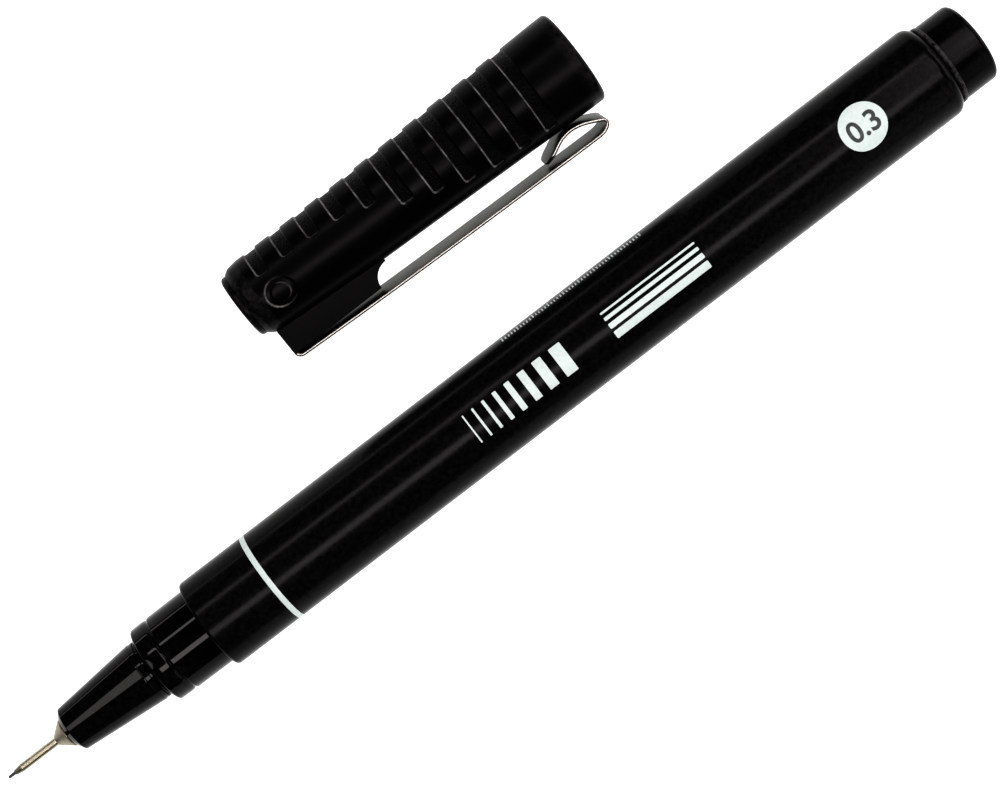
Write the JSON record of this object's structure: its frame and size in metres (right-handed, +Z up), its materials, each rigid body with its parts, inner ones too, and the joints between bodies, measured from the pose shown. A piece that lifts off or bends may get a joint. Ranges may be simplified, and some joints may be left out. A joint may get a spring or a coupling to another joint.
{
  "type": "felt tip drawing pen",
  "caption": "Felt tip drawing pen: fibre nib in a steel tube, satin barrel, tail plug, and a ribbed pull-off cap with a sprung pocket clip, lying beside it.",
  "frame": {"origin": "on the ground, in the middle along X and Y of the pen and the cap that lies beside it", "axes": "+X from the nib to the tail along the pen, +Y from the pen to the cap, +Z up"},
  "size_m": [0.1272, 0.035, 0.011],
  "materials": {
    "nib_fibre": "matt compressed fibre, stained with ink",
    "tube_steel": "drawn stainless tube",
    "cone_nickel": "turned, warm nickel colour",
    "gloss_black": "polished moulding",
    "ink_fibre": "bonded polyester fibre soaked in ink",
    "clear_film": "thin clear film",
    "satin_black": "fine satin moulding texture",
    "cap_black": "satin lands, sparkling matt grooves",
    "liner_white": "natural polyethylene",
    "white_print": "screen-printed ink",
    "clip_steel": "rolled spring steel with bright edges"
  },
  "bodies": {
    "pen": {"fibre_nib": "nib_fibre", "nib_tube": "tube_steel", "nib_cone": "cone_nickel", "nose_cone": "gloss_black", "section_sleeve": "gloss_black", "feed_wick": "ink_fibre", "ink_reservoir": "ink_fibre", "reservoir_film": "clear_film", "barrel": "satin_black", "tail_plug": "satin_black"},
    "cap": {"cap_shell": "cap_black", "cap_crown": "cap_black", "inner_cap": "liner_white"},
    "clip_strip": {"clip": "clip_steel"}
  },
  "joints": [
    {"name": "cap_slide", "type": "slide", "parent": "pen", "child": "cap", "axis": [-1, 0, 0], "range_m": [0, 0.1]},
    {"name": "clip_flex", "type": "hinge", "parent": "cap", "child": "clip_strip", "pos_m": [-0.01216, 0.00546, 0.00206], "axis": [0.0164, 0.3811, -0.9244], "range_deg": [0, 5], "stiffness_Nm_per_rad": 0.3, "springref_deg": -1.72}
  ]
}
